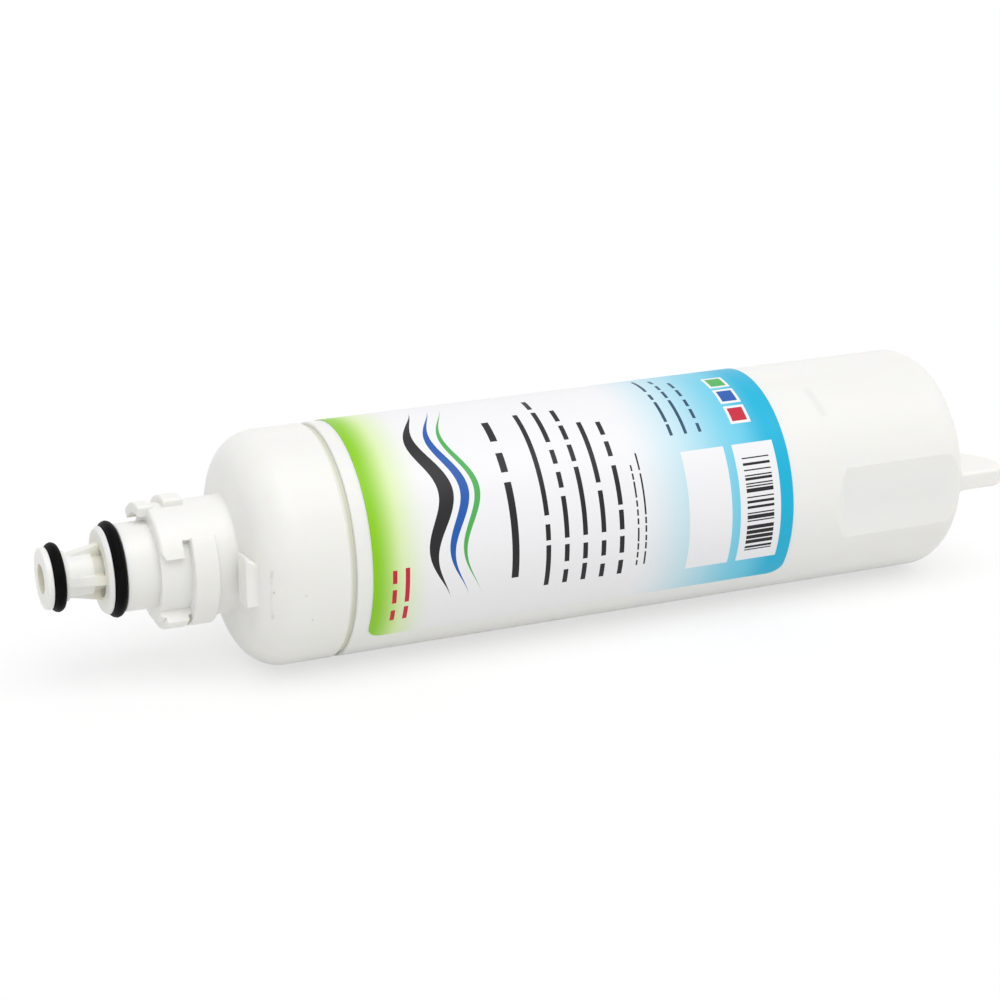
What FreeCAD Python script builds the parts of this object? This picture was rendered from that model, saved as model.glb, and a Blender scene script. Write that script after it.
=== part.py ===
import FreeCAD, Part
import math
import os
import Sketcher

# Twist-in water filter cartridge for a refrigerator.
# It lies along X: the nozzle points to -X, the grip fin to +X, and +Z is up.
# The origin is on the axis where the plug ends, just in front of the bayonet collar.
# Lengths are in millimetres. Angles are in degrees about the axis, from +Y towards +Z,
# so 180 is the near side, 90 the top and 270 the bottom.

SIZES = (
    # Nozzle, measured forward from the origin
    ("nozzle_length", 26.2),
    ("outlet_radius", 3.8),
    ("outlet_depth", 11.0),
    ("core_bore_radius", 3.2),
    ("core_radius", 4.6),
    ("tip_radius", 7.9),
    ("tip_flange", 1.7),
    ("back_flange", 1.2),
    ("back_flange_radius", 6.4),
    ("tip_rounding", 0.6),
    ("flange_rounding", 0.3),
    ("neck_radius", 5.5),
    ("neck_window", 2.3),
    ("web_width", 2.4),
    ("web_root_radius", 7.4),
    ("inlet_radius", 6.7),
    ("plug_radius", 11.2),
    ("plug_length", 11.5),
    ("plug_land", 1.3),
    ("plug_chamfer", 0.7),
    # Sealing rings
    ("outlet_ring_section", 3.0),
    ("outlet_ring_outer_radius", 8.8),
    ("inlet_ring_section", 3.1),
    ("inlet_ring_outer_radius", 12.3),
    ("spigot_ring_section", 1.8),
    ("ring_side_clearance", 0.1),
    ("ring_seat_clearance", 0.05),
    # Bayonet collar
    ("collar_radius", 15.2),
    ("collar_length", 20.6),
    ("collar_setback", 1.1),
    ("collar_wall", 3.6),
    ("collar_floor", 2.5),
    ("collar_rounding", 1.0),
    ("collar_root_rounding", 0.6),
    ("channel_depth", 1.8),
    ("channel_length", 8.8),
    ("channel_low_angle", 225.0),
    ("channel_high_angle", 158.4),
    ("slot_width", 1.9),
    ("slot_end_angle", 141.5),
    ("ramp_length", 1.6),
    ("ramp_rise", 2.6),
    ("lug_height", 1.8),
    ("low_lug_start", 2.4),
    ("low_lug_gap", 0.8),
    ("low_lug_end_angle", 290.0),
    ("top_lug_start", 5.2),
    ("top_lug_length", 5.0),
    ("top_lug_angle", 45.0),
    ("top_lug_end_angle", 97.0),
    ("ear_height", 0.8),
    ("ear_reach", 1.4),
    ("ear_length", 3.8),
    ("stop_ring_length", 6.2),
    ("stop_ring_end_angle", 322.0),
    ("rib_rounding", 0.5),
    # Key on the shoulder
    ("key_width", 13.2),
    ("key_gap", 2.2),
    ("key_inset", 7.3),
    ("key_lead", 1.15),
    ("key_depth", 4.35),
    ("key_slant", 0.3),
    ("key_fall", 2.5),
    ("key_rounding", 0.6),
    # Head shell
    ("barrel_radius", 30.5),
    ("shoulder_cone", 3.25),
    ("shoulder_rounding", 10.7),
    ("head_wall", 3.6),
    ("seam_position", 45.4),
    ("seam_width", 1.6),
    ("seam_depth", 0.8),
    ("seam_rounding", 0.5),
    ("weld_spigot_length", 8.0),
    ("weld_clearance", 0.1),
    ("core_reach", 33.0),
    # Sump
    ("rim_wall", 1.4),
    ("sump_wall", 2.8),
    ("end_position", 224.5),
    ("end_wall", 3.5),
    ("end_rounding", 7.0),
    ("floor_rounding", 4.0),
    ("flat_depth", 1.65),
    ("flat_length", 41.5),
    ("flat_run_in", 3.0),
    ("fin_reach", 14.4),
    ("fin_inset", 1.85),
    ("fin_thickness", 5.0),
    ("fin_corner", 5.0),
    ("fin_wing", 10.0),
    ("fin_wing_rounding", 8.0),
    ("fin_valley_reach", 4.5),
    ("fin_valley_width", 8.0),
    ("fin_valley_rounding", 5.0),
    ("fin_edge_rounding", 0.8),
    ("fin_root_rounding", 1.6),
    # Label
    ("label_start", 50.3),
    ("label_length", 118.8),
    ("label_wrap", 270.0),
    ("label_middle_angle", 83.0),
    ("label_thickness", 0.12),
    ("label_glue", 0.05),
    ("label_corner", 4.0),
    # Filter element
    ("block_start", 38.5),
    ("flow_gap", 2.85),
    ("block_bore_radius", 6.0),
    ("wrap_thickness", 1.0),
    ("net_thickness", 0.8),
    ("layer_clearance", 0.05),
    ("cap_plate", 2.5),
    ("cap_lip", 5.0),
    ("cap_lip_wall", 1.4),
    ("socket_wall", 3.4),
    ("socket_length", 9.0),
    ("socket_clearance", 0.15),
    ("seal_inset", 2.7),
    ("stub_length", 6.0),
    ("stub_wall", 1.6),
    ("stub_clearance", 0.1),
    ("foot_height", 3.0),
    ("foot_radius", 9.0),
    ("spacer_thickness", 2.0),
    ("spacer_clearance", 0.3),
)

doc = FreeCAD.newDocument("water_filter_cartridge")
sheet = doc.addObject("Spreadsheet::Sheet", "dims")
for row, (alias, number) in enumerate(SIZES, 1):
    sheet.set("A%d" % row, alias)
    sheet.set("B%d" % row, str(number))
    sheet.setAlias("B%d" % row, alias)
doc.recompute()


class Size:
    """A value together with the sheet expression that drives it."""

    def __init__(self, text, value):
        self.text = text
        self.value = value

    def __add__(self, other):
        return Size("(%s + %s)" % (self.text, other.text), self.value + other.value)

    def __sub__(self, other):
        return Size("(%s - %s)" % (self.text, other.text), self.value - other.value)

    def __mul__(self, factor):
        return Size("(%s * %s)" % (self.text, factor), self.value * factor)

    def __neg__(self):
        return self * -1


def dim(alias):
    return Size("dims." + alias, float(sheet.get(alias)))


ZERO = Size("0", 0.0)


# Sketch and feature tools

def sketch_on(body, role, name, offset=ZERO):
    """A sketch on one of the body's own origin planes, moved along the plane's normal."""
    plane = next(item for item in body.Origin.OriginFeatures if item.Role == role)
    sketch = body.newObject("Sketcher::SketchObject", name)
    sketch.AttachmentSupport = [(plane, "")]
    sketch.MapMode = "FlatFace"
    sketch.AttachmentOffset = FreeCAD.Placement(FreeCAD.Vector(0, 0, offset.value), FreeCAD.Rotation())
    sketch.setExpression("AttachmentOffset.Base.z", offset.text)
    return sketch


def constrain(sketch, size, kind, *elements):
    """A dimensional constraint that follows a size."""
    value = math.radians(size.value) if kind == "Angle" else size.value
    index = sketch.addConstraint(Sketcher.Constraint(kind, *elements, value))
    sketch.setExpression("Constraints[%d]" % index, size.text)


def outline(sketch, corners):
    """A closed outline of straight lines through (x, y) pairs of sizes."""
    points = [FreeCAD.Vector(x.value, y.value, 0) for x, y in corners]
    lines = []
    for start, end in zip(points, points[1:] + points[:1]):
        lines.append(sketch.addGeometry(Part.LineSegment(start, end), False))
    for line, following in zip(lines, lines[1:] + lines[:1]):
        sketch.addConstraint(Sketcher.Constraint("Coincident", line, 2, following, 1))
    for line, (x, y) in zip(lines, corners):
        constrain(sketch, x, "DistanceX", -1, 1, line, 1)
        constrain(sketch, y, "DistanceY", -1, 1, line, 1)


def sector(sketch, inner, outer, start, end):
    """A ring sector about the axis, between two radii and two angles."""
    origin = FreeCAD.Vector(0, 0, 0)
    upright = FreeCAD.Vector(0, 0, 1)
    first, last = math.radians(start.value), math.radians(end.value)

    def point(radius, angle):
        return FreeCAD.Vector(radius.value * math.cos(angle), radius.value * math.sin(angle), 0)

    arcs = []
    for radius in (inner, outer):
        circle = Part.Circle(origin, upright, radius.value)
        arcs.append(sketch.addGeometry(Part.ArcOfCircle(circle, first, last), False))
        sketch.addConstraint(Sketcher.Constraint("Coincident", arcs[-1], 3, -1, 1))
        constrain(sketch, radius, "Radius", arcs[-1])
    for angle, turn, arc_end in ((first, start, 1), (last, end, 2)):
        side = sketch.addGeometry(Part.LineSegment(point(inner, angle), point(outer, angle)), False)
        sketch.addConstraint(Sketcher.Constraint("Coincident", side, 1, arcs[0], arc_end))
        sketch.addConstraint(Sketcher.Constraint("Coincident", side, 2, arcs[1], arc_end))
        sketch.addConstraint(Sketcher.Constraint("PointOnObject", -1, 1, side))
        constrain(sketch, turn, "Angle", side)


def turned(label, corners):
    """A body of revolution about X from an outline of (x, radius) pairs."""
    body = doc.addObject("PartDesign::Body", label)
    body.Label = label
    sketch = sketch_on(body, "XY_Plane", label + "_profile")
    outline(sketch, corners)
    revolution = body.newObject("PartDesign::Revolution", label + "_turned")
    revolution.Profile = sketch
    revolution.ReferenceAxis = (sketch, ["H_Axis"])
    revolution.Angle = 360
    doc.recompute()
    return body


def pad(body, name, sketch, length, both_sides=False):
    """Material added from a sketch, along its normal or half to each side."""
    feature = body.newObject("PartDesign::Pad", name)
    feature.Profile = sketch
    feature.SideType = "Symmetric" if both_sides else "One side"
    feature.setExpression("Length", length.text)
    doc.recompute()
    return feature


def pocket(body, name, sketch, length, both_sides=False, along_normal=True):
    """Material removed from a sketch, along its normal, against it or half to each side."""
    before = body.Shape.Volume
    feature = body.newObject("PartDesign::Pocket", name)
    feature.Profile = sketch
    feature.SideType = "Symmetric" if both_sides else "One side"
    feature.Reversed = along_normal and not both_sides
    feature.setExpression("Length", length.text)
    doc.recompute()
    if not body.Shape.Volume < before:
        raise RuntimeError(name + " removes nothing")
    return feature


def around_axis(body, name, feature, count):
    """Even copies of a feature about X."""
    axis = next(item for item in body.Origin.OriginFeatures if item.Role == "X_Axis")
    pattern = body.newObject("PartDesign::PolarPattern", name)
    pattern.Originals = [feature]
    pattern.Axis = (axis, [""])
    pattern.Angle = 360
    pattern.Occurrences = count
    body.Tip = pattern
    doc.recompute()
    return pattern


def edges_where(shape, test):
    """Names of the edges that pass a test."""
    return ["Edge%d" % number for number, edge in enumerate(shape.Edges, 1) if test(edge)]


def same(value, target):
    return abs(value - target) < 1e-4


def rim(body, x, radius):
    """Names of the circular edges about X at one place and radius."""
    def on_rim(edge):
        curve = edge.Curve
        return (isinstance(curve, Part.Circle) and same(curve.Center.x, x.value)
                and same(curve.Radius, radius.value))
    return edges_where(body.Shape, on_rim)


def dress(body, kind, name, edges, size):
    """A fillet or chamfer on the body's named edges."""
    if not edges:
        raise RuntimeError(name + " finds no edge")
    base = body.Tip
    feature = body.newObject("PartDesign::" + kind, name)
    feature.Base = (base, edges)
    feature.setExpression("Radius" if kind == "Fillet" else "Size", size.text)
    body.Tip = feature
    doc.recompute()
    return feature


# Places that several pieces share

barrel_radius = dim("barrel_radius")
collar_radius = dim("collar_radius")
collar_bore = collar_radius - dim("collar_wall")
channel_radius = collar_radius - dim("channel_depth")
lug_radius = collar_radius + dim("lug_height")
ear_radius = collar_radius + dim("ear_height")
core_radius = dim("core_radius")
plug_radius = dim("plug_radius")
tip_x = -dim("nozzle_length")
plug_x = -dim("plug_length")

outlet_groove_x = tip_x + dim("tip_flange")
outlet_groove_width = dim("outlet_ring_section") + dim("ring_side_clearance") * 2
outlet_ring_middle = dim("outlet_ring_outer_radius") - dim("outlet_ring_section") * 0.5
outlet_groove_radius = outlet_ring_middle - dim("outlet_ring_section") * 0.5 - dim("ring_seat_clearance")
back_flange_x = outlet_groove_x + outlet_groove_width
neck_x = back_flange_x + dim("back_flange")

inlet_groove_x = plug_x + dim("plug_land")
inlet_groove_width = dim("inlet_ring_section") + dim("ring_side_clearance") * 2
inlet_ring_middle = dim("inlet_ring_outer_radius") - dim("inlet_ring_section") * 0.5
inlet_groove_radius = inlet_ring_middle - dim("inlet_ring_section") * 0.5 - dim("ring_seat_clearance")

collar_x = dim("collar_setback")
shoulder_x = dim("collar_length")
shoulder_corner_x = shoulder_x + dim("shoulder_cone")
head_wall = dim("head_wall")
head_bore = barrel_radius - head_wall
seam_front = dim("seam_position") - dim("seam_width") * 0.5
rim_x = dim("seam_position") + dim("seam_width") * 0.5
rim_bore = barrel_radius - dim("rim_wall")
spigot_end = rim_x + dim("weld_spigot_length")

end_x = dim("end_position")
floor_x = end_x - dim("end_wall")
sump_bore = barrel_radius - dim("sump_wall")

block_x = dim("block_start")
block_end = floor_x - dim("foot_height") - dim("cap_plate")
lip_outer = sump_bore - dim("flow_gap")
lip_inner = lip_outer - dim("cap_lip_wall")
net_outer = lip_inner - dim("layer_clearance")
net_inner = net_outer - dim("net_thickness")
wrap_outer = net_inner - dim("layer_clearance")
wrap_inner = wrap_outer - dim("wrap_thickness")
block_radius = wrap_inner - dim("layer_clearance")
plate_x = block_x - dim("cap_plate")
stub_radius = dim("block_bore_radius") - dim("stub_clearance")


# Head cap: one moulding with the nozzle, the bayonet collar and the domed shoulder

head = turned("head_cap", [
    (tip_x, dim("outlet_radius")),
    (tip_x, dim("tip_radius")),
    (outlet_groove_x, dim("tip_radius")),
    (outlet_groove_x, outlet_groove_radius),
    (back_flange_x, outlet_groove_radius),
    (back_flange_x, dim("back_flange_radius")),
    (neck_x, dim("back_flange_radius")),
    (neck_x, dim("neck_radius")),
    (plug_x - dim("neck_window"), dim("neck_radius")),
    (plug_x - dim("neck_window"), core_radius),
    (plug_x, core_radius),
    (plug_x, plug_radius),
    (inlet_groove_x, plug_radius),
    (inlet_groove_x, inlet_groove_radius),
    (inlet_groove_x + inlet_groove_width, inlet_groove_radius),
    (inlet_groove_x + inlet_groove_width, plug_radius),
    (collar_x, plug_radius),
    (collar_x, collar_radius),
    (shoulder_x, collar_radius),
    (shoulder_corner_x, barrel_radius),
    (seam_front, barrel_radius),
    (seam_front, barrel_radius - dim("seam_depth")),
    (rim_x, barrel_radius - dim("seam_depth")),
    (rim_x, rim_bore - dim("weld_clearance")),
    (spigot_end, rim_bore - dim("weld_clearance")),
    (spigot_end, head_bore),
    (shoulder_corner_x + head_wall, head_bore),
    (shoulder_x + head_wall, collar_bore),
    (dim("collar_floor"), collar_bore),
    (dim("collar_floor"), core_radius),
    (dim("core_reach"), core_radius),
    (dim("core_reach"), dim("core_bore_radius")),
    (tip_x + dim("outlet_depth"), dim("core_bore_radius")),
    (tip_x + dim("outlet_depth"), dim("outlet_radius")),
])
dress(head, "Fillet", "shoulder_round", rim(head, shoulder_corner_x, barrel_radius),
      dim("shoulder_rounding"))
dress(head, "Fillet", "inner_shoulder_round", rim(head, shoulder_corner_x + head_wall, head_bore),
      dim("shoulder_rounding") - head_wall)
dress(head, "Fillet", "tip_round", rim(head, tip_x, dim("tip_radius")), dim("tip_rounding"))
dress(head, "Chamfer", "plug_edge", rim(head, plug_x, plug_radius), dim("plug_chamfer"))
dress(head, "Fillet", "flange_round",
      rim(head, outlet_groove_x, dim("tip_radius"))
      + rim(head, back_flange_x, dim("back_flange_radius"))
      + rim(head, neck_x, dim("back_flange_radius"))
      + rim(head, inlet_groove_x, plug_radius)
      + rim(head, inlet_groove_x + inlet_groove_width, plug_radius),
      dim("flange_rounding"))
dress(head, "Fillet", "collar_front_round", rim(head, collar_x, collar_radius), dim("collar_rounding"))
dress(head, "Fillet", "collar_root_round", rim(head, shoulder_x, collar_radius), dim("collar_root_rounding"))
dress(head, "Fillet", "seam_round", rim(head, seam_front, barrel_radius), dim("seam_rounding"))

# Four webs flare from the neck to the plug and bridge the inlet windows
core_middle = (core_radius + dim("core_bore_radius")) * 0.5
web_sketch = sketch_on(head, "XY_Plane", "web_profile")
outline(web_sketch, [
    (neck_x, core_middle),
    (neck_x, dim("neck_radius")),
    (plug_x, dim("web_root_radius")),
    (plug_x + dim("plug_chamfer"), dim("web_root_radius")),
    (plug_x + dim("plug_chamfer"), core_middle),
])
web = pad(head, "web", web_sketch, dim("web_width"), both_sides=True)
around_axis(head, "webs", web, 4)

# Inlet passages run between the webs, from the windows into the hollow of the collar
half_web_turn = Size("asin(%s / %s)" % ((dim("web_width") * 0.5).text, dim("inlet_radius").text),
                     math.degrees(math.asin(dim("web_width").value / 2 / dim("inlet_radius").value)))
inlet_sketch = sketch_on(head, "YZ_Plane", "inlet_profile", plug_x)
sector(inlet_sketch, core_radius, dim("inlet_radius"), half_web_turn, Size("90 deg", 90.0) - half_web_turn)
inlet = pocket(head, "inlet", inlet_sketch, dim("plug_length") + dim("collar_floor"))
around_axis(head, "inlets", inlet, 4)

# Two bayonet channels open at the front, each with a narrow locking slot behind its lip
channel_outer = lug_radius + dim("ear_reach")
channel_sketch = sketch_on(head, "YZ_Plane", "channel_profile")
sector(channel_sketch, channel_radius, channel_outer,
       dim("channel_high_angle"), dim("channel_low_angle"))
channel = pocket(head, "channel", channel_sketch, dim("channel_length"))
around_axis(head, "channels", channel, 2)

slot_x = dim("channel_length") - dim("slot_width")
slot_sketch = sketch_on(head, "YZ_Plane", "slot_profile", slot_x)
sector(slot_sketch, channel_radius, channel_outer, dim("slot_end_angle"), dim("channel_high_angle"))
slot = pocket(head, "slot", slot_sketch, dim("slot_width"))
around_axis(head, "slots", slot, 2)

# A lead-in ramp bevels the front corner of each lip
channel_turn = dim("channel_high_angle")
lip_z = Size("(%s * sin(%s * 1 deg))" % (channel_radius.text, channel_turn.text),
             channel_radius.value * math.sin(math.radians(channel_turn.value)))
lip_y = Size("(%s * cos(%s * 1 deg) * -1)" % (channel_radius.text, channel_turn.text),
             channel_radius.value * -math.cos(math.radians(channel_turn.value)))
ramp_sketch = sketch_on(head, "XZ_Plane", "ramp_profile", lip_y)
outline(ramp_sketch, [
    (collar_x - dim("ramp_length"), lip_z),
    (collar_x + dim("ramp_length"), lip_z),
    (collar_x, lip_z + dim("ramp_rise")),
    (collar_x - dim("ramp_length"), lip_z + dim("ramp_rise")),
])
ramp = pocket(head, "ramp", ramp_sketch, lug_radius)
around_axis(head, "ramps", ramp, 2)


def collar_rib(name, start_x, length, radius, start, end):
    """A raised arc on the collar, rooted in its wall."""
    sketch = sketch_on(head, "YZ_Plane", name + "_profile", start_x)
    sector(sketch, channel_radius, radius, start, end)
    return pad(head, name, sketch, length)


low_lug_length = dim("channel_length") - dim("low_lug_gap") - dim("low_lug_start")
collar_rib("low_lug", dim("low_lug_start"), low_lug_length,
           lug_radius, dim("channel_low_angle"), dim("low_lug_end_angle"))
collar_rib("top_lug", dim("top_lug_start"), dim("top_lug_length"),
           lug_radius, dim("top_lug_angle"), dim("top_lug_end_angle"))
collar_rib("ear", -dim("ear_reach"), dim("ear_length"),
           ear_radius, dim("top_lug_angle"), dim("top_lug_end_angle"))
collar_rib("stop_ring", dim("channel_length"), dim("stop_ring_length"),
           lug_radius, dim("slot_end_angle"), dim("stop_ring_end_angle"))


def at_rib_top(radius):
    """A test for the edges that lie at one radius from the axis, along a rib's outer face."""
    def on_top(edge):
        middle = edge.valueAt((edge.FirstParameter + edge.LastParameter) / 2)
        points = [vertex.Point for vertex in edge.Vertexes] + [middle]
        return all(same(math.hypot(point.y, point.z), radius.value) for point in points)
    return on_top


dress(head, "Fillet", "ear_round", edges_where(head.Shape, at_rib_top(ear_radius)),
      dim("rib_rounding"))
dress(head, "Fillet", "lug_round", edges_where(head.Shape, at_rib_top(lug_radius)),
      dim("rib_rounding"))

# Key on the shoulder's near side, clear of the collar: its top falls towards the shoulder
key_inner = collar_radius + dim("key_gap")
key_outer = barrel_radius - dim("key_inset")
key_front = shoulder_x - dim("key_lead")
key_back = key_front + dim("key_depth")
key_top = dim("key_width") * 0.5
key_sketch = sketch_on(head, "XZ_Plane", "key_profile", key_inner)
outline(key_sketch, [
    (key_front, -key_top),
    (key_back, -key_top),
    (key_back, key_top - dim("key_fall")),
    (key_front, key_top),
])
pad(head, "key", key_sketch, key_outer - key_inner)

# The key's front slants back as it leaves the collar
slant_sketch = sketch_on(head, "XY_Plane", "key_slant_profile")
outline(slant_sketch, [
    (key_front, -key_inner),
    (key_front, -key_outer),
    (key_front + dim("key_slant"), -key_outer),
])
pocket(head, "key_slant_cut", slant_sketch, dim("key_width"), both_sides=True)


def on_key_border(edge):
    """The border of the key's outer side, with its foot on the shoulder."""
    return same(edge.CenterOfMass.y, -key_outer.value)


dress(head, "Fillet", "key_round", edges_where(head.Shape, on_key_border), dim("key_rounding"))


# Sealing rings, each seated in its own groove

def sealing_ring(label, x, middle, section):
    ring = doc.addObject("Part::Torus", label)
    ring.Label = label
    ring.setExpression("Radius1", middle.text)
    ring.setExpression("Radius2", (section * 0.5).text)
    along_x = FreeCAD.Rotation(FreeCAD.Vector(0, 1, 0), 90)
    ring.Placement = FreeCAD.Placement(FreeCAD.Vector(x.value, 0, 0), along_x)
    ring.setExpression("Placement.Base.x", x.text)
    return ring


outlet_ring = sealing_ring("outlet_o_ring", outlet_groove_x + outlet_groove_width * 0.5,
                           outlet_ring_middle, dim("outlet_ring_section"))
inlet_ring = sealing_ring("inlet_o_ring", inlet_groove_x + inlet_groove_width * 0.5,
                          inlet_ring_middle, dim("inlet_ring_section"))


# Sump: a deep cup spin welded to the head, closed by a rounded end with a grip fin

sump = turned("sump_body", [
    (rim_x, ZERO),
    (rim_x, barrel_radius),
    (end_x, barrel_radius),
    (end_x, ZERO),
])
dress(sump, "Fillet", "end_round", rim(sump, end_x, barrel_radius), dim("end_rounding"))
dress(sump, "Fillet", "rim_round", rim(sump, rim_x, barrel_radius), dim("seam_rounding"))

# Two opposite grip flats with a sloped run-in
fin_tip = end_x + dim("fin_reach")
flat_x = end_x - dim("flat_length")
flat_y = barrel_radius - dim("flat_depth")
flat_sketch = sketch_on(sump, "XY_Plane", "flat_profile")
outline(flat_sketch, [
    (flat_x, barrel_radius),
    (flat_x + dim("flat_run_in"), flat_y),
    (fin_tip, flat_y),
    (fin_tip, barrel_radius + dim("flat_depth")),
    (flat_x, barrel_radius + dim("flat_depth")),
])
flat = pocket(sump, "flat", flat_sketch, barrel_radius * 2, both_sides=True)
around_axis(sump, "flats", flat, 2)

# Grip fin across the end, a little narrower than the flats: two wings with a valley between them
fin_side = flat_y - dim("fin_inset")
fin_half = dim("fin_thickness") * 0.5
wing_y = fin_side - dim("fin_wing")
valley_x = end_x + dim("fin_valley_reach")
valley_y = dim("fin_valley_width") * 0.5
fin_sketch = sketch_on(sump, "XY_Plane", "fin_profile")
outline(fin_sketch, [
    (end_x - dim("end_rounding"), -fin_side),
    (fin_tip, -fin_side),
    (fin_tip, -wing_y),
    (valley_x, -valley_y),
    (valley_x, valley_y),
    (fin_tip, wing_y),
    (fin_tip, fin_side),
    (end_x - dim("end_rounding"), fin_side),
])
pad(sump, "fin", fin_sketch, dim("fin_thickness"), both_sides=True)


def fin_uprights(x, y):
    """Names of the fin's two upright edges at one corner of its outline and at its mirror image."""
    def on_upright(edge):
        middle = edge.CenterOfMass
        return same(middle.x, x.value) and same(abs(middle.y), y.value) and same(middle.z, 0)
    return edges_where(sump.Shape, on_upright)


def on_fin_border(edge):
    """The border of the fin's two flat sides, clear of its root."""
    middle = edge.CenterOfMass
    return same(abs(middle.z), fin_half.value) and middle.x > end_x.value + fin_half.value


def on_fin_root(edge):
    """The two long lines where the fin leaves the end."""
    middle = edge.CenterOfMass
    return same(middle.x, end_x.value) and same(abs(middle.z), fin_half.value)


dress(sump, "Fillet", "fin_corner_round", fin_uprights(fin_tip, fin_side), dim("fin_corner"))
dress(sump, "Fillet", "fin_wing_round", fin_uprights(fin_tip, wing_y), dim("fin_wing_rounding"))
dress(sump, "Fillet", "fin_valley_round", fin_uprights(valley_x, valley_y), dim("fin_valley_rounding"))
dress(sump, "Fillet", "fin_border_round", edges_where(sump.Shape, on_fin_border), dim("fin_edge_rounding"))
dress(sump, "Fillet", "fin_root_round", edges_where(sump.Shape, on_fin_root), dim("fin_root_rounding"))

# The hollow, stepped out at the rim for the head's weld spigot
step_x = spigot_end + dim("weld_clearance")
hollow_sketch = sketch_on(sump, "XY_Plane", "hollow_profile")
outline(hollow_sketch, [
    (rim_x, ZERO),
    (rim_x, rim_bore),
    (step_x, rim_bore),
    (step_x, sump_bore),
    (floor_x, sump_bore),
    (floor_x, ZERO),
])
hollow = sump.newObject("PartDesign::Groove", "hollow")
hollow.Profile = hollow_sketch
hollow.ReferenceAxis = (hollow_sketch, ["H_Axis"])
hollow.Angle = 360
sump.Tip = hollow
doc.recompute()
dress(sump, "Fillet", "floor_round", rim(sump, floor_x, sump_bore), dim("floor_rounding"))


# Label: a printed film wrapped round the sump, with rounded corners

label_inner = barrel_radius + dim("label_glue")
label_outer = label_inner + dim("label_thickness")
label_end = dim("label_start") + dim("label_length")
label = turned("label", [
    (dim("label_start"), label_inner),
    (label_end, label_inner),
    (label_end, label_outer),
    (dim("label_start"), label_outer),
])
wrapped = label.Tip
wrapped.Midplane = True
wrapped.setExpression("Angle", dim("label_wrap").text)
doc.recompute()


def corner_cut(sketch, edge_x, inward):
    """The waste outside a rounded label corner: edge_x is the label's end, inward points into it."""
    corner = dim("label_corner")
    turn_x = edge_x + corner * inward
    outside_x = edge_x - corner * inward
    start, top, bottom = (outside_x, corner), (turn_x, corner), (outside_x, -corner)
    a, b, e = (FreeCAD.Vector(x.value, y.value, 0) for x, y in (start, top, bottom))
    c = FreeCAD.Vector(turn_x.value, 0, 0)
    d = FreeCAD.Vector(edge_x.value, -corner.value, 0)
    centre = FreeCAD.Vector(turn_x.value, -corner.value, 0)
    across, down, back, up = (
        sketch.addGeometry(Part.LineSegment(*ends), False) for ends in ((a, b), (b, c), (d, e), (e, a)))
    circle = Part.Circle(centre, FreeCAD.Vector(0, 0, 1), corner.value)
    sweep = (math.pi / 2, math.pi) if inward > 0 else (0, math.pi / 2)
    arc = sketch.addGeometry(Part.ArcOfCircle(circle, *sweep), False)
    at_top, at_edge = (1, 2) if inward > 0 else (2, 1)
    for pair in ((across, 2, down, 1), (down, 2, arc, at_top), (arc, at_edge, back, 1),
                 (back, 2, up, 1), (up, 2, across, 1)):
        sketch.addConstraint(Sketcher.Constraint("Coincident", *pair))
    sketch.addConstraint(Sketcher.Constraint("Vertical", down))
    sketch.addConstraint(Sketcher.Constraint("Horizontal", back))
    for geometry, point, (x, y) in ((across, 1, start), (across, 2, top), (back, 2, bottom),
                                    (arc, 3, (turn_x, -corner))):
        constrain(sketch, x, "DistanceX", -1, 1, geometry, point)
        constrain(sketch, y, "DistanceY", -1, 1, geometry, point)
    constrain(sketch, corner, "Radius", arc)


corner_sketch = sketch_on(label, "XZ_Plane", "label_corner_profile")
half_wrap = dim("label_wrap") * 0.5
corner_sketch.AttachmentOffset = FreeCAD.Placement(
    FreeCAD.Vector(0, 0, 0), FreeCAD.Rotation(FreeCAD.Vector(1, 0, 0), half_wrap.value))
corner_sketch.setExpression("AttachmentOffset.Rotation.Angle", half_wrap.text)
corner_cut(corner_sketch, dim("label_start"), 1)
corner_cut(corner_sketch, label_end, -1)
corners = pocket(label, "label_corners", corner_sketch, barrel_radius * 2, along_normal=False)
middle_plane = next(item for item in label.Origin.OriginFeatures if item.Role == "XY_Plane")
mirrored = label.newObject("PartDesign::Mirrored", "label_far_corners")
mirrored.Originals = [corners]
mirrored.MirrorPlane = (middle_plane, [""])
label.Tip = mirrored
doc.recompute()
label.Placement = FreeCAD.Placement(
    FreeCAD.Vector(0, 0, 0), FreeCAD.Rotation(FreeCAD.Vector(1, 0, 0), dim("label_middle_angle").value))
label.setExpression("Placement.Rotation.Angle", dim("label_middle_angle").text)


# Filter element: a carbon block in a fleece wrap and a net, between two end caps

def tube(label_text, inner, outer, start_x, stop_x):
    return turned(label_text, [(start_x, inner), (start_x, outer), (stop_x, outer), (stop_x, inner)])


block = tube("carbon_block", dim("block_bore_radius"), block_radius, block_x, block_end)
wrap = tube("prefilter_wrap", wrap_inner, wrap_outer, block_x, block_end)
net = tube("netting_sleeve", net_inner, net_outer, block_x, block_end)

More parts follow.
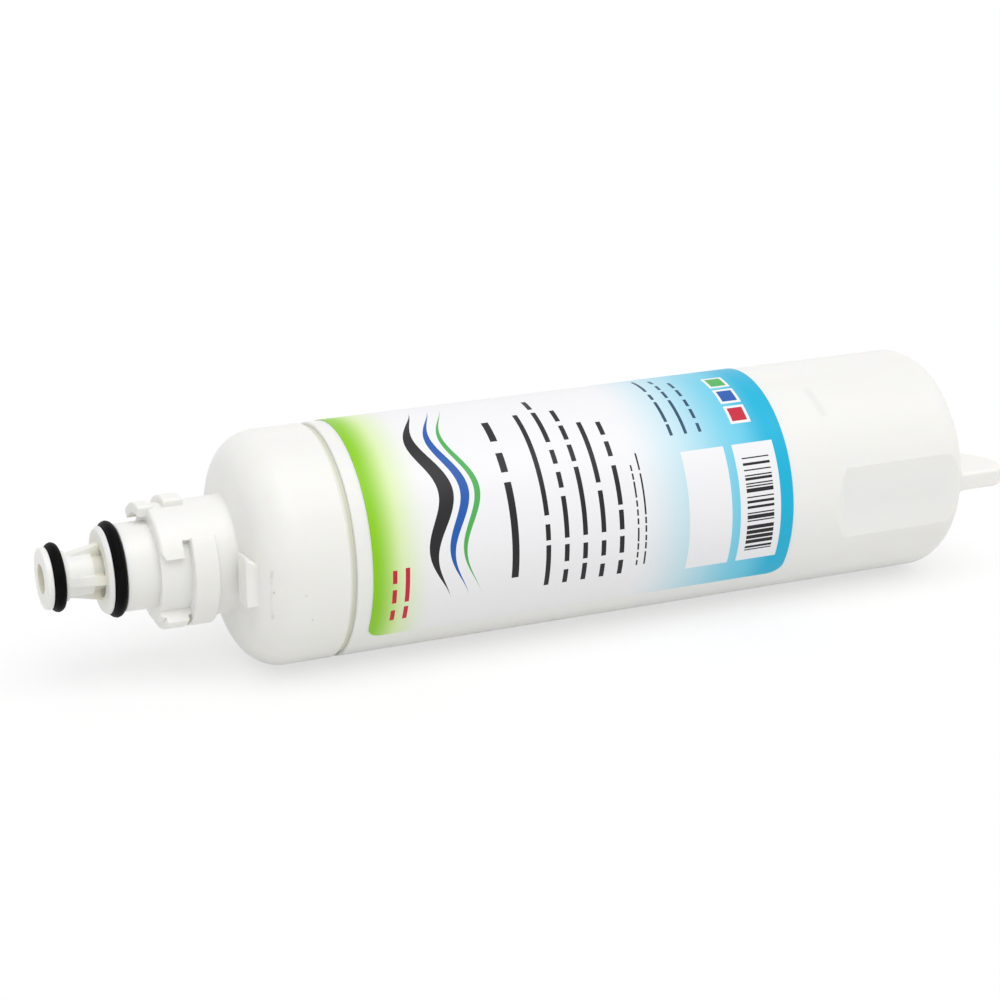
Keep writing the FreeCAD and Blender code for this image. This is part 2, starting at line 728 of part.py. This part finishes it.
# Upper end cap: a socket seals on the head's core tube, a stub enters the block's bore
socket_bore = core_radius + dim("socket_clearance")
socket_x = plate_x - dim("socket_length")
seal_width = dim("spigot_ring_section") + dim("ring_side_clearance") * 2
seal_x = socket_x + dim("seal_inset")
seal_outer = core_radius + dim("spigot_ring_section") + dim("ring_seat_clearance") * 2
upper_cap = turned("upper_end_cap", [
    (socket_x, socket_bore),
    (socket_x, core_radius + dim("socket_wall")),
    (plate_x, core_radius + dim("socket_wall")),
    (plate_x, lip_outer),
    (block_x + dim("cap_lip"), lip_outer),
    (block_x + dim("cap_lip"), lip_inner),
    (block_x, lip_inner),
    (block_x, stub_radius),
    (block_x + dim("stub_length"), stub_radius),
    (block_x + dim("stub_length"), stub_radius - dim("stub_wall")),
    (plate_x, stub_radius - dim("stub_wall")),
    (plate_x, socket_bore),
    (seal_x + seal_width, socket_bore),
    (seal_x + seal_width, seal_outer),
    (seal_x, seal_outer),
    (seal_x, socket_bore),
])
spigot_seal = sealing_ring("spigot_seal", seal_x + seal_width * 0.5,
                           core_radius + dim("ring_seat_clearance") + dim("spigot_ring_section") * 0.5,
                           dim("spigot_ring_section"))

# Lower end cap: closes the block's bore and centres it in the sump with four spacers
lower_cap = turned("lower_end_cap", [
    (block_end - dim("stub_length"), ZERO),
    (block_end - dim("stub_length"), stub_radius),
    (block_end, stub_radius),
    (block_end, lip_inner),
    (block_end - dim("cap_lip"), lip_inner),
    (block_end - dim("cap_lip"), lip_outer),
    (block_end + dim("cap_plate"), lip_outer),
    (block_end + dim("cap_plate"), dim("foot_radius")),
    (floor_x, dim("foot_radius")),
    (floor_x, ZERO),
])
spacer_sketch = sketch_on(lower_cap, "XY_Plane", "spacer_profile")
outline(spacer_sketch, [
    (block_end - dim("cap_lip"), lip_outer - dim("cap_lip_wall") * 0.5),
    (block_end - dim("cap_lip"), sump_bore - dim("spacer_clearance")),
    (block_end + dim("cap_plate") - dim("foot_height"), sump_bore - dim("spacer_clearance")),
    (block_end + dim("cap_plate"), lip_outer),
    (block_end + dim("cap_plate"), lip_outer - dim("cap_lip_wall") * 0.5),
])
spacer = pad(lower_cap, "spacer", spacer_sketch, dim("spacer_thickness"), both_sides=True)
around_axis(lower_cap, "spacers", spacer, 4)


# Check every object, then write each piece

doc.recompute()
pieces = [head, outlet_ring, inlet_ring, sump, label, upper_cap, spigot_seal,
          block, wrap, net, lower_cap]
for item in doc.Objects:
    if "Invalid" in item.State or "Error" in item.State:
        raise RuntimeError("%s failed: %s" % (item.Name, item.State))
for piece in pieces:
    if piece.Shape.isNull() or not piece.Shape.isValid():
        raise RuntimeError(piece.Label + " has no valid shape")
os.makedirs("parts", exist_ok=True)
for piece in pieces:
    piece.Shape.exportStep("parts/%s.step" % piece.Label)
    print(piece.Label, len(piece.Shape.Solids), round(piece.Shape.Volume, 1))
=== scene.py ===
import math
import bmesh
import bpy
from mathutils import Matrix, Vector


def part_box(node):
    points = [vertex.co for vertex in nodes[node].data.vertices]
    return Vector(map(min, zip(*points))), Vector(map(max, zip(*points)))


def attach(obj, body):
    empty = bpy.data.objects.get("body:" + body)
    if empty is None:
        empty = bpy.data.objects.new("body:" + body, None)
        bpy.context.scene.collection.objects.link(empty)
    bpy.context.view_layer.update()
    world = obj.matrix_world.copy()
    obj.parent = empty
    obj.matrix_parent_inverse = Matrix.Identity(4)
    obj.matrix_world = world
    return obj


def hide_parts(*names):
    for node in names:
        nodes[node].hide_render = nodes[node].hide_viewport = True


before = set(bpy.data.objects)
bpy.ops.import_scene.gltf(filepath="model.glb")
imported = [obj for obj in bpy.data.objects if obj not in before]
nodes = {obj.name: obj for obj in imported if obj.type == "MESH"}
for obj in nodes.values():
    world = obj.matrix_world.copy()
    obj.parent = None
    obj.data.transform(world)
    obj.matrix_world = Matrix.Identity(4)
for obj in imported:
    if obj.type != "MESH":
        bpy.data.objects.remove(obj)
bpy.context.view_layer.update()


# Carbon block: the tube of pressed carbon grains that does the filtering.
# Grains and binder are baked in a mould, so its skin is black, matt and full of pores.

class Field:
    """A shader socket that takes part in Python arithmetic: each operation adds its Math node."""

    def __init__(self, socket):
        self.socket = socket

    @staticmethod
    def node(tree, kind, settings, inputs, output=0):
        """Any node: its settings first, then its sockets' values or links. Gives one output."""
        made = tree.nodes.new(kind)
        for name, value in settings.items():
            setattr(made, name, value)
        for name, value in inputs.items():
            if isinstance(value, Field):
                tree.links.new(value.socket, made.inputs[name])
            elif value is not None:
                made.inputs[name].default_value = value
        return Field(made.outputs[output]) if made.outputs else None

    def math(self, operation, other=None):
        settings = {"operation": operation}
        return Field.node(self.socket.id_data, "ShaderNodeMath", settings, {0: self, 1: other})

    def reflected(self, operation, other):
        settings = {"operation": operation}
        return Field.node(self.socket.id_data, "ShaderNodeMath", settings, {0: other, 1: self})

    def __add__(self, other):
        return self.math("ADD", other)

    def __radd__(self, other):
        return self.reflected("ADD", other)

    def __sub__(self, other):
        return self.math("SUBTRACT", other)

    def __rsub__(self, other):
        return self.reflected("SUBTRACT", other)

    def __mul__(self, other):
        return self.math("MULTIPLY", other)

    def __rmul__(self, other):
        return self.reflected("MULTIPLY", other)

    def __truediv__(self, other):
        return self.math("DIVIDE", other)

    def __rtruediv__(self, other):
        return self.reflected("DIVIDE", other)

    def __gt__(self, other):
        return self.math("GREATER_THAN", other)

    def __lt__(self, other):
        return self.math("LESS_THAN", other)

    def __abs__(self):
        return self.math("ABSOLUTE")

    def __floor__(self):
        return self.math("FLOOR")

    def fraction(self):
        return self.math("FRACT")

    def larger(self, other):
        return self.math("MAXIMUM", other)

    def fade(self, start, end):
        """0 at start, 1 at end, eased between them and held outside."""
        settings = {"interpolation_type": "SMOOTHSTEP"}
        inputs = {"Value": self, "From Min": start, "From Max": end, "To Min": 0.0, "To Max": 1.0}
        if start > end:
            inputs.update({"From Min": end, "From Max": start, "To Min": 1.0, "To Max": 0.0})
        return Field.node(self.socket.id_data, "ShaderNodeMapRange", settings, inputs)


def new_finish(name, **even):
    """A material with one Principled shader, whose even inputs are set on its own sockets."""
    material = bpy.data.materials.new(name)
    material.use_nodes = True
    tree = material.node_tree
    tree.nodes.clear()
    shader = tree.nodes.new("ShaderNodeBsdfPrincipled")
    for socket, value in even.items():
        shader.inputs[socket.replace("_", " ").title().replace("Ior", "IOR")].default_value = value
    tree.links.new(shader.outputs[0], tree.nodes.new("ShaderNodeOutputMaterial").inputs[0])
    return material, tree, shader


def feed(shader, **varying):
    """Links fields to the shader's sockets."""
    for socket, field in varying.items():
        shader.id_data.links.new(field.socket, shader.inputs[socket.replace("_", " ").title()])


def place_on(tree):
    """The point on the piece, in metres in the part's frame."""
    return Field.node(tree, "ShaderNodeTexCoord", {}, {}, "Object")


def noise(tree, point, scale, detail=2.0, roughness=0.5):
    """Soft noise from 0 to 1, with so many waves to the metre."""
    inputs = {"Vector": point, "Scale": scale, "Detail": detail, "Roughness": roughness}
    return Field.node(tree, "ShaderNodeTexNoise", {}, inputs)


def blend(tree, share, first, second):
    """One colour passing into another."""
    first, second = (colour if isinstance(colour, Field) else (*colour, 1.0) for colour in (first, second))
    return Field.node(tree, "ShaderNodeMix", {"data_type": "RGBA"}, {0: share, 6: first, 7: second}, 2)


def relief(tree, height, distance):
    """A surface normal from a height field."""
    return Field.node(tree, "ShaderNodeBump", {}, {"Height": height, "Distance": distance, "Strength": 1.0})


def dress_node(name, material):
    """A carried-over solid takes a new finish."""
    nodes[name].data.materials.clear()
    nodes[name].data.materials.append(material)


carbon_black = (0.012, 0.012, 0.013)
carbon_grain = (0.050, 0.049, 0.047)
carbon_dullness = 0.95
grains_per_metre = 900.0
grain_contrast = 1.6
grain_shine = 0.25
grain_depth = 0.0004
pores_per_metre = 360.0
pore_detail = 4.0

carbon, tree, shader = new_finish("pressed_carbon_finish")
point = place_on(tree)
grain = Field.node(tree, "ShaderNodeTexVoronoi", {}, {"Vector": point, "Scale": grains_per_metre}, "Distance")
pores = noise(tree, point, pores_per_metre, pore_detail)
feed(shader,
     base_color=blend(tree, grain * pores * grain_contrast, carbon_black, carbon_grain),
     roughness=carbon_dullness - grain * grain_shine,
     normal=relief(tree, grain + pores, grain_depth))
dress_node("carbon_block", carbon)


# Prefilter wrap: a soft sleeve of white fleece that catches grit before the carbon.
# It is melt-blown fibre wound round the block, so it is matt, cloudy and slightly hairy.

fleece_white = (0.80, 0.79, 0.75)
fleece_shade = (0.62, 0.61, 0.57)
fleece_dullness = 0.95
fibre_stretch = (300.0, 1400.0, 1400.0)
fibre_detail = 5.0
fibre_tangle = 0.7
fibre_depth = 0.0003

fleece, tree, shader = new_finish("filter_fleece_finish", roughness=fleece_dullness)
stretched = Field.node(tree, "ShaderNodeMapping", {}, {"Vector": place_on(tree), "Scale": fibre_stretch})
fibres = noise(tree, stretched, 1.0, fibre_detail, fibre_tangle)
feed(shader,
     base_color=blend(tree, fibres, fleece_shade, fleece_white),
     normal=relief(tree, fibres, fibre_depth))
dress_node("prefilter_wrap", fleece)


# Netting sleeve: an extruded plastic net that holds the fleece on the block.
# Its strands run both ways round the tube and cross in small diamonds.

def coordinate(tree, point, axis):
    """One coordinate of a point."""
    return Field.node(tree, "ShaderNodeSeparateXYZ", {}, {"Vector": point}, axis)


net_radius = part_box("netting_sleeve")[1].y
net_dullness = 0.45
strand_pitch = 0.004
strand_edge = (0.28, 0.36)
strand_height = 0.0004
strand_white = (0.82, 0.82, 0.80)
mesh_shade = (0.55, 0.55, 0.53)

net, tree, shader = new_finish("net_plastic_finish", roughness=net_dullness)
point = place_on(tree)
along, sideways, upright = (coordinate(tree, point, axis) for axis in "XYZ")
turn = upright.math("ARCTAN2", sideways) * net_radius
crossing = [abs(((along + turn * way) / strand_pitch).fraction() - 0.5) for way in (1.0, -1.0)]
strands = crossing[0].larger(crossing[1]).fade(*strand_edge)
feed(shader,
     base_color=blend(tree, strands, mesh_shade, strand_white),
     normal=relief(tree, strands, strand_height))
dress_node("netting_sleeve", net)


# End caps: two moulded discs glued to the ends of the block.
# The upper one has the socket that slides on the core tube, the lower one stands on the sump's floor.

cap_white = (0.74, 0.76, 0.78)
cap_shade = (0.68, 0.70, 0.72)
cap_clouds_per_metre = 60.0
cap_dullness = 0.35
cloud_dullness = 0.15

cap_plastic, tree, shader = new_finish("cap_plastic_finish")
cloud = noise(tree, place_on(tree), cap_clouds_per_metre)
feed(shader,
     base_color=blend(tree, cloud, cap_shade, cap_white),
     roughness=cap_dullness + cloud * cloud_dullness)
for cap in ("upper_end_cap", "lower_end_cap"):
    dress_node(cap, cap_plastic)


# Sealing rings: three moulded rubber rings, one in the cap's socket and two on the nozzle.
# Each is moulded in two halves, which leaves a fine flash line round its inside and outside.

rubber_black = (0.002, 0.002, 0.0022)
rubber_grey = (0.005, 0.005, 0.0055)
rubber_dullness = 0.40
rubber_gleam = 0.05
bloom_per_metre = 260.0
bloom_detail = 3.0
bloom_edge = (0.45, 0.75)
bloom_dullness = 0.2
skin_per_metre = 2600.0
skin_depth = 0.00003
flash_height = 0.00005
flash_reach = 0.01
section_steps = 36
ring_steps = 160
merge_gap = 1e-7

rubber, tree, shader = new_finish("seal_rubber_finish", specular_ior_level=rubber_gleam)
point = place_on(tree)
bloom = noise(tree, point, bloom_per_metre, bloom_detail)
feed(shader,
     base_color=blend(tree, bloom.fade(*bloom_edge), rubber_black, rubber_grey),
     roughness=rubber_dullness + bloom * bloom_dullness,
     normal=relief(tree, noise(tree, point, skin_per_metre), skin_depth))


def place_mesh(name, shape, material):
    """Turns a bmesh into an object at the origin."""
    mesh = bpy.data.meshes.new(name)
    shape.to_mesh(mesh)
    shape.free()
    mesh.materials.append(material)
    placed = bpy.data.objects.new(name, mesh)
    bpy.context.scene.collection.objects.link(placed)
    return placed


def finish_piece(name, shape, material, replaced):
    """Makes a piece that stands for a node and rides with the cartridge."""
    piece = place_mesh(name, shape, material)
    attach(piece, "root")
    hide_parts(replaced)


def smooth_faces(shape, sharp_angle):
    """Smooth shading, broken where faces meet at more than an angle."""
    for face in shape.faces:
        face.smooth = True
    for edge in shape.edges:
        edge.smooth = not edge.is_manifold or edge.calc_face_angle(0.0) < sharp_angle


def moulded_ring(name, node):
    """A ring turned about X in the space of its node, with the flash line of its mould."""
    low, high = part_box(node)
    section = (high.x - low.x) / 2
    middle = high.y - section
    shape = bmesh.new()
    bmesh.ops.create_circle(shape, segments=section_steps, radius=section)
    for vert in shape.verts:
        on_flash = abs(vert.co.x) < section * flash_reach
        vert.co *= 1 + (flash_height / section if on_flash else 0)
    bmesh.ops.translate(shape, verts=shape.verts, vec=((low.x + high.x) / 2, middle - flash_height, 0))
    bmesh.ops.spin(shape, geom=shape.verts[:] + shape.edges[:], cent=(0, 0, 0), axis=(1, 0, 0),
                   angle=math.tau, steps=ring_steps, use_merge=True)
    bmesh.ops.remove_doubles(shape, verts=shape.verts, dist=merge_gap)
    bmesh.ops.recalc_face_normals(shape, faces=shape.faces)
    smooth_faces(shape, math.pi)
    finish_piece(name, shape, rubber, node)


for ring in ("spigot_seal", "inlet_o_ring", "outlet_o_ring"):
    moulded_ring("moulded_" + ring, ring)


# Sump: the long cup that holds the filter, with grip flats and a fin for turning it.
# It is moulded in off-white polypropylene, a little glossy, with faint flow marks along its length
# and one faint rub from handling near the label's end.

housing_white = (0.865, 0.86, 0.835)
housing_shade = (0.84, 0.835, 0.805)
housing_depth = (0.0022, 0.0018, 0.0011)
housing_glow = 0.35
housing_ior = 1.49
housing_dullness = 0.30
flow_stretch = (9.0, 60.0, 60.0)
flow_detail = 3.0
flow_edge = (0.35, 0.7)
flow_dullness = 0.14
peel_per_metre = 420.0
peel_depth = 0.00004
weld_place = 0.0456
weld_spread = 0.0010
# Painted shade in the weld groove, over the weld line's own tint: its olive colour and its strength.
weld_tint_and_groove_shade = (0.36, 0.37, 0.06)
weld_tint_and_shade_strength = 0.42
rub_ends = (Vector((0.1820, -0.0130, 0.0276)), Vector((0.1830, -0.0199, 0.0231)))
rub_width = 0.0020
rub_strength = 0.10
handling_grey = (0.36, 0.34, 0.30)


def housing_plastic(name):
    """Off-white moulded plastic, with painted shade along the weld groove. Gives the material with its tree,
    shader, place and colour.
    """
    material, tree, shader = new_finish(name, ior=housing_ior, subsurface_weight=housing_glow,
                                        subsurface_radius=housing_depth, subsurface_scale=1.0)
    point = place_on(tree)
    drawn = Field.node(tree, "ShaderNodeMapping", {}, {"Vector": point, "Scale": flow_stretch})
    flow = noise(tree, drawn, 1.0, flow_detail)
    off_weld = abs(coordinate(tree, point, "X") - weld_place)
    # Painted shade: an olive line darkens the weld groove where shade falls, over the weld line's own
    # yellowed tint.
    weld_tint_and_shade = off_weld.fade(weld_spread, 0.0) * weld_tint_and_shade_strength
    colour = blend(tree, flow.fade(*flow_edge), housing_white, housing_shade)
    colour = blend(tree, weld_tint_and_shade, colour, weld_tint_and_groove_shade)
    feed(shader,
         base_color=colour,
         roughness=housing_dullness + flow * flow_dullness,
         normal=relief(tree, noise(tree, point, peel_per_metre), peel_depth))
    return material, tree, shader, point, colour


def vector_math(tree, operation, first, second=None):
    """A sum on points, which gives a point, or a number where it measures."""
    output = "Value" if operation in ("DISTANCE", "DOT_PRODUCT", "LENGTH") else "Vector"
    return Field.node(tree, "ShaderNodeVectorMath", {"operation": operation}, {0: first, 1: second}, output)


def gap_to(tree, point, start, end):
    """How far the place lies from a short stroke."""
    run = end - start
    from_start = vector_math(tree, "SUBTRACT", point, start)
    share = vector_math(tree, "DOT_PRODUCT", from_start, run / run.length_squared)
    held = Field.node(tree, "ShaderNodeClamp", {}, {"Value": share})
    nearest = Field.node(tree, "ShaderNodeVectorMath", {"operation": "SCALE"}, {0: run, "Scale": held})
    return vector_math(tree, "DISTANCE", from_start, nearest)


sump_plastic, tree, shader, point, colour = housing_plastic("sump_plastic")
rub = gap_to(tree, point, *rub_ends).fade(rub_width, 0.0) * rub_strength
feed(shader, base_color=blend(tree, rub, colour, handling_grey))
dress_node("sump_body", sump_plastic)


# Head cap: the front moulding with the nozzle, the bayonet collar and the domed shoulder.
# It is spin welded to the sump, and its shoulder has a scuff and three specks from handling.
# The bore and the neck behind the tip get painted shade: a darker, a little yellower tone where shade falls
# in these deep places.

scuff_ends = (Vector((0.02505, -0.02722, 0.00363)), Vector((0.02513, -0.02613, -0.00871)))
scuff_width = 0.0008
scuff_strength = 0.34
scuff_grain = 420.0
scuff_detail = 3.0
scuff_breaks = (0.20, 0.65)
specks = (
    (Vector((0.02527, -0.02761, -0.00153)), 0.00060),
    (Vector((0.03277, -0.0304, -0.00242)), 0.00040),
    (Vector((0.03468, -0.02887, -0.00982)), 0.00045),
)
speck_strength = 0.5
across_axis = (0.0, 1.0, 1.0)
bore_edge = (0.00418, 0.00380)
neck_edge = (0.00990, 0.00765)
neck_start = -0.0156
neck_root = -0.0120
plug_face = -0.0100
neck_shade_strength = 0.8
# Painted shade for the bore and the neck behind the tip: a darker yellow tone and its strength.
painted_recess_shade = (0.83, 0.82, 0.71)

head_plastic, tree, shader, point, colour = housing_plastic("head_plastic")
broken = noise(tree, point, scuff_grain, scuff_detail).fade(*scuff_breaks)
mark = gap_to(tree, point, *scuff_ends).fade(scuff_width, 0.0) * broken * scuff_strength
for centre, radius in specks:
    mark = mark.larger(vector_math(tree, "DISTANCE", point, centre).fade(radius, 0.0) * speck_strength)
along = coordinate(tree, point, "X")
off_axis = vector_math(tree, "LENGTH", vector_math(tree, "MULTIPLY", point, across_axis))
# Painted shade: the bore and the neck behind the tip are darkened to a yellow tone where shade falls in them.
shaded_bore = off_axis.fade(*bore_edge) * (along < neck_root)
shaded_neck = off_axis.fade(*neck_edge) * along.fade(neck_start, neck_root) * (along < plug_face)
colour = blend(tree, shaded_bore.larger(shaded_neck * neck_shade_strength), colour, painted_recess_shade)
feed(shader, base_color=blend(tree, mark, colour, handling_grey))
dress_node("head_cap", head_plastic)


# Label: a printed film wrapped three quarters round the sump, with rounded corners.
# White film, printed in green at one end and blue at the other, with rows of plain bars between them.

label_low, label_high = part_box("label")
label_radius = label_high.z
label_length = label_high.x - label_low.x
label_wrap = math.radians(270)
label_lower_edge = math.radians(218)
label_arc = label_wrap * label_radius
label_corner = 0.004
corner_steps = 8
wrap_steps = 180
cut_gap = 1e-8
film_thickness = 0.00012
film_crease = math.radians(30)

film = bmesh.new()
film_uv = film.loops.layers.uv.new("print")
bmesh.ops.create_grid(film, x_segments=1, y_segments=1, size=0.5)
bmesh.ops.scale(film, verts=film.verts, vec=(label_length, label_arc, 1))
bmesh.ops.translate(film, verts=film.verts, vec=(label_length / 2, label_arc / 2, 0))
bmesh.ops.bevel(film, geom=film.verts[:], offset=label_corner, affect="VERTICES", segments=corner_steps,
                profile=0.5, material=-1)
for step in range(1, wrap_steps):
    bmesh.ops.bisect_plane(film, geom=film.verts[:] + film.edges[:] + film.faces[:], dist=cut_gap,
                           plane_co=(0, label_arc * step / wrap_steps, 0), plane_no=(0, 1, 0))
for face in film.faces:
    for loop in face.loops:
        loop[film_uv].uv = (loop.vert.co.x / label_length, loop.vert.co.y / label_arc)
for vert in film.verts:
    angle = label_lower_edge - vert.co.y / label_radius
    vert.co = (label_low.x + vert.co.x, label_radius * math.cos(angle), label_radius * math.sin(angle))
bmesh.ops.recalc_face_normals(film, faces=film.faces)
outward = sum(face.normal.dot(face.calc_center_median() * Vector(across_axis)) for face in film.faces)
if outward < 0:
    bmesh.ops.reverse_faces(film, faces=film.faces)
bmesh.ops.solidify(film, geom=film.faces[:], thickness=film_thickness)
smooth_faces(film, film_crease)

film_white = (0.862, 0.857, 0.875)
film_gleam = 0.3
film_dullness = 0.34
lie_per_metre = 90.0
lie_dullness = 0.1
lie_depth = 0.00012
leaf_green = (0.25, 0.59, 0.006)
pale_green = (0.66, 0.84, 0.34)
pale_blue = (0.54, 0.76, 0.85)
mid_blue = (0.16, 0.60, 0.79)
deep_cyan = (0.004, 0.44, 0.68)
ink_black = (0.012, 0.012, 0.014)
ink_navy = (0.02, 0.07, 0.13)
ink_red = (0.56, 0.012, 0.04)
ink_green = (0.07, 0.42, 0.09)
ink_blue = (0.012, 0.10, 0.42)

# The print is laid out in millimetres, along the label from its green end and up from its lower edge.
# Colour fields give where each tint starts and is full; panels give left, right, bottom and top.
millimetres = 1000
colour_fields = (
    (17.0, 3.0, pale_green),
    (8.5, 0.5, leaf_green),
    (72.0, 92.0, pale_blue),
    (86.0, 106.0, mid_blue),
    (104.0, 115.0, deep_cyan),
)
white_panels = ((88.0, 100.5, 8.0, 41.0), (103.0, 115.0, 8.0, 41.0), (84.0, 114.0, 82.0, 134.0))
stripe_panel = (105.0, 113.0, 11.0, 38.0)
stripe_step = 0.36
stripe_group = 1.44
stripe_gap = 0.25
stripe_share = 0.42
stripe_seed = 4.0
ribbons = ((19.0, 2.0, ink_black), (24.0, 1.2, ink_blue), (27.4, 0.8, ink_green))
ribbon_wave = 0.20
ribbon_swing = 2.6
ribbon_head = (70.0, 46.0)
ribbon_tail = (10.0, 34.0)

# Bars: the first row's place, the rows' pitch, number and height, their start and reach, a seed, the ink.
bar_fields = (
    (35.5, 6.0, 1, 3.6, 14.0, 50.0, 8.0, ink_black),
    (45.0, 5.2, 5, 2.5, 10.0, 60.0, 11.0, ink_black),
    (72.0, 2.2, 2, 0.9, 12.0, 34.0, 15.0, ink_black),
    (85.0, 4.2, 3, 1.7, 46.0, 24.0, 19.0, ink_navy),
    (4.0, 3.4, 2, 2.2, 6.0, 20.0, 23.0, ink_red),
    (22.0, 4.4, 11, 1.7, 82.0, 52.0, 31.0, ink_navy),
    (86.0, 5.0, 5, 1.5, 85.0, 44.0, 41.0, ink_navy),
)
bar_pitch = 2.6
bar_thickness = 0.54
shortest_bar = 0.60
bar_spread = 0.24
joined_above = 0.62
shortest_row = 0.70
patches = ((47.0, ink_red), (54.0, ink_blue), (61.0, ink_green))
patch_left = 105.0
patch_side = 6.0
patch_rim = 0.8

label_film, tree, shader = new_finish("label_film_finish", specular_ior_level=film_gleam)
print_place = Field.node(tree, "ShaderNodeUVMap", {"uv_map": "print"}, {})
across = coordinate(tree, print_place, "X") * (label_length * millimetres)
upward = coordinate(tree, print_place, "Y") * (label_arc * millimetres)


def chance(column, row):
    """A fixed random number from 0 to 1 for each cell of the print."""
    cell = Field.node(tree, "ShaderNodeCombineXYZ", {}, {"X": column, "Y": row})
    return Field.node(tree, "ShaderNodeTexWhiteNoise", {"noise_dimensions": "2D"}, {"Vector": cell}, "Value")


def span(field, low, high):
    """1 between two limits."""
    return (field > low) * (field < high)


def panel(left, right, bottom, top):
    """A plain rectangle of print."""
    return span(across, left, right) * span(upward, bottom, top)


def bar_rows(first, pitch, rows, height, start, reach, seed):
    """Rows of plain bars that run up the label. Some bars join the next one."""
    row_place = (across - first) / pitch
    row = math.floor(row_place)
    off_middle = abs(row_place.fraction() - 0.5) * pitch
    bar_place = (upward - start) / (height * bar_pitch)
    bar = math.floor(bar_place)
    bars = reach / (height * bar_pitch) * (shortest_row + (1 - shortest_row) * chance(row, seed))
    filled = bar_place.fraction() < shortest_bar + bar_spread * chance(bar, row + seed)
    joined = chance(bar, row + seed + 2) > joined_above
    inked = filled.larger(joined) * (off_middle < height * bar_thickness / 2)
    return span(row_place, 0, rows) * span(bar, -0.5, bars) * inked


ink = film_white
for start, full, tint in colour_fields:
    ink = blend(tree, across.fade(start, full), ink, tint)
for limits in white_panels:
    ink = blend(tree, panel(*limits), ink, film_white)
stripe = chance(math.floor(upward / stripe_step), stripe_seed) > stripe_share
stripe = stripe * ((upward / stripe_group).fraction() > stripe_gap)
ink = blend(tree, panel(*stripe_panel) * stripe, ink, ink_black)
swing = (upward * ribbon_wave).math("SINE") * ribbon_swing
taper = upward.fade(*ribbon_head) * upward.fade(*ribbon_tail)
for middle, half_width, tint in ribbons:
    ink = blend(tree, abs(across - swing - middle) < taper * half_width, ink, tint)
for *layout, tint in bar_fields:
    ink = blend(tree, bar_rows(*layout), ink, tint)
for foot, tint in patches:
    for rim, fill in ((0.0, film_white), (patch_rim, tint)):
        patch = panel(patch_left + rim, patch_left + patch_side - rim, foot + rim, foot + patch_side - rim)
        ink = blend(tree, patch, ink, fill)

lie = noise(tree, place_on(tree), lie_per_metre)
feed(shader,
     base_color=ink,
     roughness=film_dullness + lie * lie_dullness,
     normal=relief(tree, lie, lie_depth))
finish_piece("printed_label", film, label_film, "label")


# Stage: a pale floor under the barrel, a soft overhead light and the camera.
# The floor reaches past the picture's edges, and the light comes from above and a little in front.

floor_level = -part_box("sump_body")[1].y
floor_size = 12.0
floor_steps = 8
floor_white = (0.93, 0.93, 0.93)
floor_share = 0.38
floor_glow = 0.63
floor_bounce = (0.84, 0.84, 0.83)


def in_view(tree):
    """1 for a ray that shows the surroundings: seen straight, mirrored or passed through."""
    seen, mirrored, passing = (Field.node(tree, "ShaderNodeLightPath", {}, {}, ray)
                               for ray in ("Is Camera Ray", "Is Glossy Ray", "Is Transmission Ray"))
    return seen.larger(mirrored).larger(passing)


floor_finish = bpy.data.materials.new("floor_finish")
floor_finish.use_nodes = True
tree = floor_finish.node_tree
tree.nodes.clear()
dimmed_white = tuple(part * floor_share for part in floor_white)
matt = Field.node(tree, "ShaderNodeBsdfDiffuse", {}, {"Color": (*floor_bounce, 1.0)})
dimmed = Field.node(tree, "ShaderNodeBsdfDiffuse", {}, {"Color": (*dimmed_white, 1.0)})
glow = Field.node(tree, "ShaderNodeEmission", {}, {"Strength": floor_glow})
pale = Field.node(tree, "ShaderNodeAddShader", {}, {0: dimmed, 1: glow})
shown = Field.node(tree, "ShaderNodeMixShader", {}, {0: in_view(tree), 1: matt, 2: pale})
Field.node(tree, "ShaderNodeOutputMaterial", {}, {"Surface": shown})

floor_shape = bmesh.new()
bmesh.ops.create_grid(floor_shape, x_segments=floor_steps, y_segments=floor_steps, size=floor_size / 2)
bmesh.ops.translate(floor_shape, verts=floor_shape.verts, vec=(0, 0, floor_level))
floor = place_mesh("floor", floor_shape, floor_finish)

room_white = (1.0, 1.0, 1.0)
room_light = 0.70

world = bpy.data.worlds.new("studio")
world.use_nodes = True
bpy.context.scene.world = world
tree = world.node_tree
tree.nodes.clear()
shown = in_view(tree)
sky = Field.node(tree, "ShaderNodeBackground", {},
                 {"Color": (*room_white, 1.0), "Strength": shown + (1 - shown) * room_light})
Field.node(tree, "ShaderNodeOutputWorld", {}, {"Surface": sky})

lamp_towards = Vector((0.05, -0.38, 0.92))
lamp_power = 1.26
lamp_spread = math.radians(50)

lamp = bpy.data.lights.new("overhead_light", "SUN")
lamp.energy = lamp_power
lamp.angle = lamp_spread
overhead = bpy.data.objects.new("overhead_light", lamp)
overhead.rotation_euler = lamp_towards.to_track_quat("Z", "Y").to_euler()
bpy.context.scene.collection.objects.link(overhead)

camera_place = (-0.1452, -0.5733, 0.2251)
camera_pitch = math.radians(70.42)
camera_yaw = math.radians(-22.93)
camera_lens = 89.56
camera_sensor = 36.0
camera_near = 0.01

camera_data = bpy.data.cameras.new("camera")
camera_data.lens = camera_lens
camera_data.sensor_width = camera_sensor
camera_data.clip_start = camera_near
camera = bpy.data.objects.new("camera", camera_data)
camera.location = camera_place
camera.rotation_euler = (camera_pitch, 0.0, camera_yaw)
bpy.context.scene.collection.objects.link(camera)
bpy.context.scene.camera = camera
bpy.context.scene.view_settings.view_transform = "Standard"
